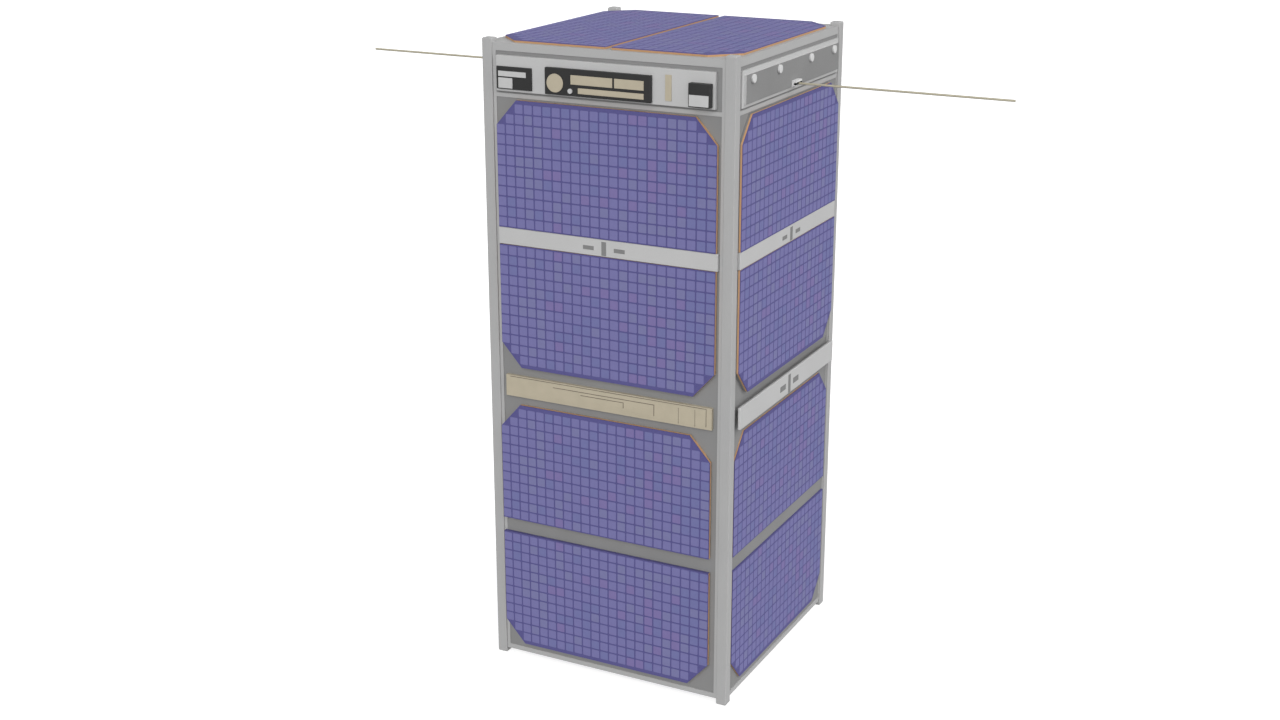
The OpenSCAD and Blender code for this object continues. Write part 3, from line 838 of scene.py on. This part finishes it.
class SATELLITE_OT_antennas(bpy.types.Operator):
    """Round and finish the antenna trays, covers, buttons, hinges and rods"""

    bl_idname = "satellite.antennas"
    bl_label = "Antennas"

    def execute(self, context):
        sizes, colours = context.scene.satellite_sizes, context.scene.satellite_colours
        bright = anodised("tray_anodised", colours.bright)
        dark = powder_paint("tray_cover_paint", colours.cover, colours.bright)
        light = moulded("button_light", colours.button)
        # Both hinges are as far out and as high as the first
        pivot = Vector(frame["joints"][0]["pos_m"])
        white = hinge_plastic("hinge_white", colours.white, colours.bush, pivot, sizes)
        metal = antenna_metal("antenna_metal", colours.rod, colours.bush, pivot, sizes)
        for side in ("right", "left"):
            softened(f"antenna_tray_{side}", bright, sizes.fine_edge)
            softened(f"tray_cover_{side}", dark, sizes.fine_edge)
            dress(f"antenna_hinge_{side}", white)
            dress(f"antenna_rod_{side}", metal)
        softened("tray_buttons", light, sizes.fine_edge)
        return {"FINISHED"}


# Stage

# Azimuth and elevation of each soft light, in degrees
LIGHTS = {"key": (10, 20), "side": (100, 30), "back": (225, 5)}


def toward(azimuth, elevation):
    """Direction from the satellite to a point, azimuth 0 in front and growing to the right."""
    level = math.cos(elevation)
    return Vector((math.sin(azimuth) * level, -math.cos(azimuth) * level, math.sin(elevation)))


def soft_light(name, azimuth, elevation, power, softness):
    """A distant light with soft shadows, from a direction in degrees."""
    light = bpy.data.lights.new(name, "SUN")
    light.energy = power
    light.angle = softness
    holder = bpy.data.objects.new(name, light)
    bpy.context.scene.collection.objects.link(holder)
    way = toward(math.radians(azimuth), math.radians(elevation))
    holder.location = way
    holder.rotation_euler = (-way).to_track_quat("-Z", "Y").to_euler()
    return holder


class SATELLITE_OT_stage(bpy.types.Operator):
    """Set up the floor, the soft light and the camera"""

    bl_idname = "satellite.stage"
    bl_label = "Stage"

    def execute(self, context):
        self.add_camera(context)
        self.add_floor(context)
        stage = context.scene.satellite_stage
        for name, (azimuth, elevation) in LIGHTS.items():
            power = getattr(stage, name)
            light = soft_light(f"{name}_light", azimuth, elevation, power, stage.softness)
            light.visible_glossy = name != "back"
        self.add_surround(context)
        context.scene.view_settings.view_transform = "Standard"
        return {"FINISHED"}

    def add_camera(self, context):
        """The camera of the main view."""
        stage = context.scene.satellite_stage
        camera = bpy.data.cameras.new("camera")
        camera.lens = stage.lens
        camera.clip_start = 0.01
        holder = bpy.data.objects.new("camera", camera)
        context.scene.collection.objects.link(holder)
        way = toward(stage.azimuth, stage.elevation)
        holder.location = Vector(stage.aim) + way * stage.distance
        holder.rotation_euler = (-way).to_track_quat("-Z", "Y").to_euler()
        context.scene.camera = holder

    def add_floor(self, context):
        """A wide matt floor that glows faintly, so that it stays light where the lights are weak."""
        stage = context.scene.satellite_stage
        bm = bmesh.new()
        bmesh.ops.create_grid(bm, x_segments=1, y_segments=1, size=stage.floor_size / 2)
        mesh = bpy.data.meshes.new("floor")
        bm.to_mesh(mesh)
        bm.free()
        finish = Finish(
            "floor_matt",
            context.scene.satellite_colours.floor,
            Roughness=0.9,
            Specular_IOR_Level=0.1,
            Emission_Color=(1, 1, 1, 1),
            Emission_Strength=stage.floor_glow,
        )
        finish.tinted(finish.spread(finish.noise(80 * MM), 0, 1), 0.004)
        mesh.materials.append(finish.material)
        floor = bpy.data.objects.new("floor", mesh)
        floor.visible_diffuse = False
        floor.visible_glossy = False
        context.scene.collection.objects.link(floor)

    def add_surround(self, context):
        """A world that looks white and lights softly."""
        world = bpy.data.worlds.new("studio")
        world.use_nodes = True
        nodes, links = world.node_tree.nodes, world.node_tree.links
        lit = nodes["Background"]
        lit.inputs["Color"].default_value = (1, 1, 1, 1)
        lit.inputs["Strength"].default_value = context.scene.satellite_stage.surround
        seen = nodes.new("ShaderNodeBackground")
        seen.inputs["Color"].default_value = (1, 1, 1, 1)
        mix = nodes.new("ShaderNodeMixShader")
        links.new(nodes.new("ShaderNodeLightPath").outputs["Is Camera Ray"], mix.inputs["Fac"])
        links.new(lit.outputs[0], mix.inputs[1])
        links.new(seen.outputs[0], mix.inputs[2])
        links.new(mix.outputs[0], nodes["World Output"].inputs["Surface"])
        context.scene.world = world


OPERATORS = (
    SATELLITE_OT_structure,
    SATELLITE_OT_boards,
    SATELLITE_OT_bars,
    SATELLITE_OT_strips,
    SATELLITE_OT_instruments,
    SATELLITE_OT_antennas,
    SATELLITE_OT_stage,
)

GROUPS = {
    "satellite_sizes": SatelliteSizes,
    "satellite_colours": SatelliteColours,
    "satellite_stage": SatelliteStage,
}


class VIEW3D_PT_satellite(bpy.types.Panel):
    """Lists the sizes, the colours and the operators"""

    bl_label = "Cube satellite"
    bl_space_type = "VIEW_3D"
    bl_region_type = "UI"
    bl_category = "Satellite"

    def draw(self, context):
        for name, group in GROUPS.items():
            for entry in group.__annotations__:
                self.layout.prop(getattr(context.scene, name), entry)
        for operator in OPERATORS:
            self.layout.operator(operator.bl_idname)


CLASSES = (*GROUPS.values(), *OPERATORS, VIEW3D_PT_satellite)


def register():
    """Adds the classes, and the groups of settings to the scene."""
    for cls in CLASSES:
        bpy.utils.register_class(cls)
    for name, group in GROUPS.items():
        setattr(bpy.types.Scene, name, PointerProperty(type=group))


def unregister():
    """Takes away what register added."""
    for name in GROUPS:
        delattr(bpy.types.Scene, name)
    for cls in reversed(CLASSES):
        bpy.utils.unregister_class(cls)


def main():
    """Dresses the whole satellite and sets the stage."""
    register()
    bpy.ops.satellite.structure()
    bpy.ops.satellite.boards()
    bpy.ops.satellite.bars()
    bpy.ops.satellite.strips()
    bpy.ops.satellite.instruments()
    bpy.ops.satellite.antennas()
    bpy.ops.satellite.stage()


if __name__ == "__main__":
    main()
